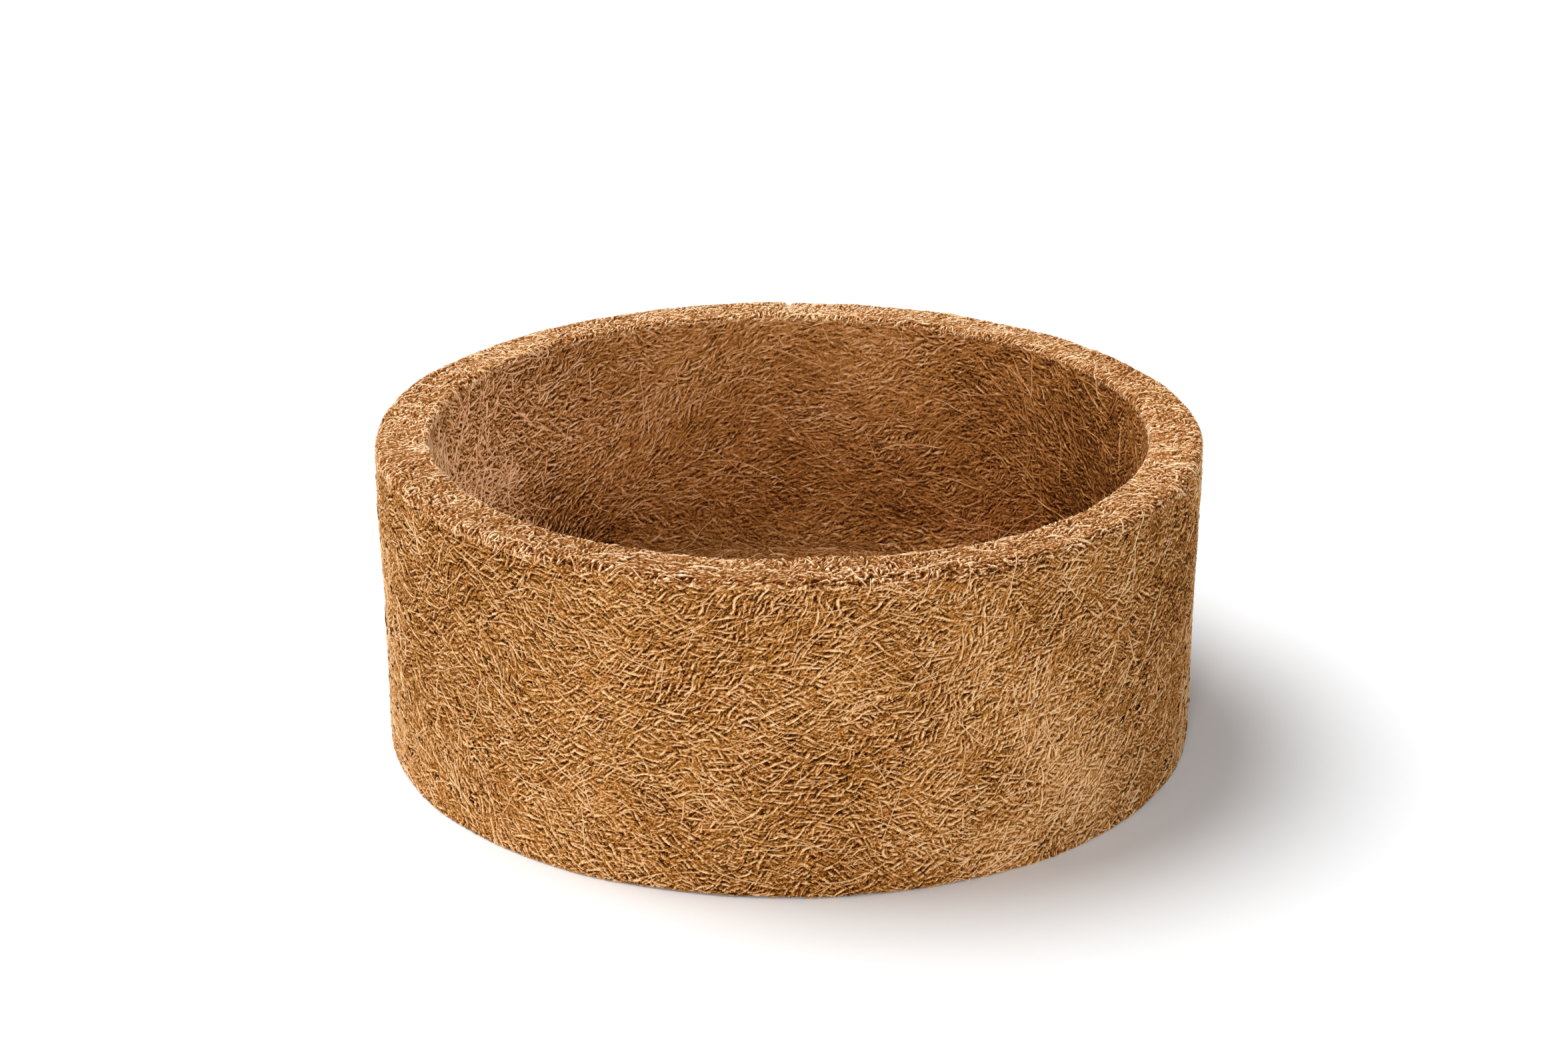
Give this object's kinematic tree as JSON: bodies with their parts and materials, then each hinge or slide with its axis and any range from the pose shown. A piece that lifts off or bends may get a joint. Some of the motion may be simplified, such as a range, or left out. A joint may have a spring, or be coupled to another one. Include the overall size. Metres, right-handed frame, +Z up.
{
  "type": "coir plant pot",
  "caption": "Short round straight-walled plant pot of latex-bonded coconut fibre felt, open at the top, with a thick wall, a soft-edged flat rim and a flat base.",
  "frame": {"origin": "centre of the foot, on the plane that the pot stands on", "axes": "+Z up along the pot's axis, through the open top; the picture looks along +Y; the outer wall seam is at +Y"},
  "size_m": [0.15, 0.15, 0.058],
  "materials": {
    "outer_felt": "matte",
    "inner_felt": "matte",
    "base_felt": "matte",
    "latex_bond": "satin"
  },
  "bodies": {
    "root": {"outer_wall_mat": "outer_felt", "inner_wall_mat": "inner_felt", "wall_latex_film": "latex_bond", "outer_seam_latex": "latex_bond", "inner_seam_latex": "latex_bond", "lower_base_mat": "base_felt", "base_latex_film": "latex_bond", "upper_base_mat": "inner_felt", "lower_base_edge_latex": "latex_bond", "upper_base_edge_latex": "latex_bond"}
  },
  "joints": []
}
